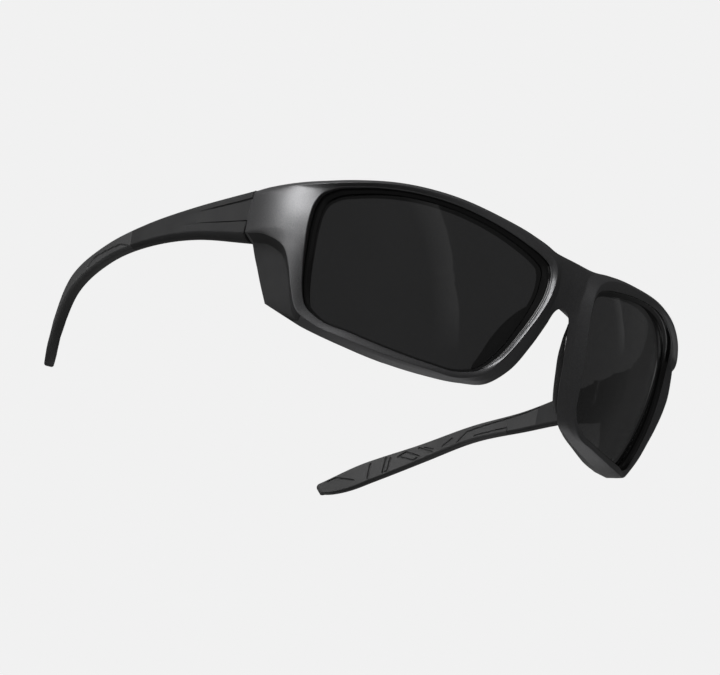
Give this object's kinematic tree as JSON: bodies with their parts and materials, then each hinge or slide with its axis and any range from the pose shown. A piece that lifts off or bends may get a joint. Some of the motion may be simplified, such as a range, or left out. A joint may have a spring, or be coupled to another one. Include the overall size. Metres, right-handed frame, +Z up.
{
  "type": "safety glasses",
  "caption": "Wraparound safety glasses: curved full-rim front with side shields, dark lenses, soft nose pads and folding temples with soft tips.",
  "frame": {"origin": "on the surface the glasses rest on, under the middle of their outer box", "axes": "+X to the wearer's left, +Y from the lenses back along the open temples, +Z up; the lenses face -Y"},
  "size_m": [0.142, 0.1468, 0.0447],
  "materials": {
    "frame_paint": "dark gunmetal metallic paint on moulded nylon, satin",
    "temple_paint": "dark gunmetal metallic paint on moulded nylon, satin",
    "lens": "smoke-tinted polycarbonate, polished",
    "soft_pad": "black soft-touch elastomer, matte",
    "soft_tip": "black soft-touch elastomer, matte",
    "hinge_steel": "stamped stainless steel",
    "screw_steel": "turned stainless steel"
  },
  "bodies": {
    "front": {"front_frame": "frame_paint", "left_lens": "lens", "right_lens": "lens", "left_nose_pad": "soft_pad", "right_nose_pad": "soft_pad", "left_front_hinge_leaf": "hinge_steel", "right_front_hinge_leaf": "hinge_steel", "left_hinge_screw": "screw_steel", "right_hinge_screw": "screw_steel"},
    "left_temple_arm": {"left_temple": "temple_paint", "left_temple_tip": "soft_tip", "left_temple_hinge_leaf": "hinge_steel"},
    "right_temple_arm": {"right_temple": "temple_paint", "right_temple_tip": "soft_tip", "right_temple_hinge_leaf": "hinge_steel"}
  },
  "joints": [
    {"name": "left_temple_fold", "type": "hinge", "parent": "front", "child": "left_temple_arm", "pos_m": [0.06167, -0.021, 0.03145], "axis": [0, 0, 1], "range_deg": [0, 90]},
    {"name": "right_temple_fold", "type": "hinge", "parent": "front", "child": "right_temple_arm", "pos_m": [-0.06167, -0.021, 0.03145], "axis": [0, 0, -1], "range_deg": [0, 80]}
  ]
}
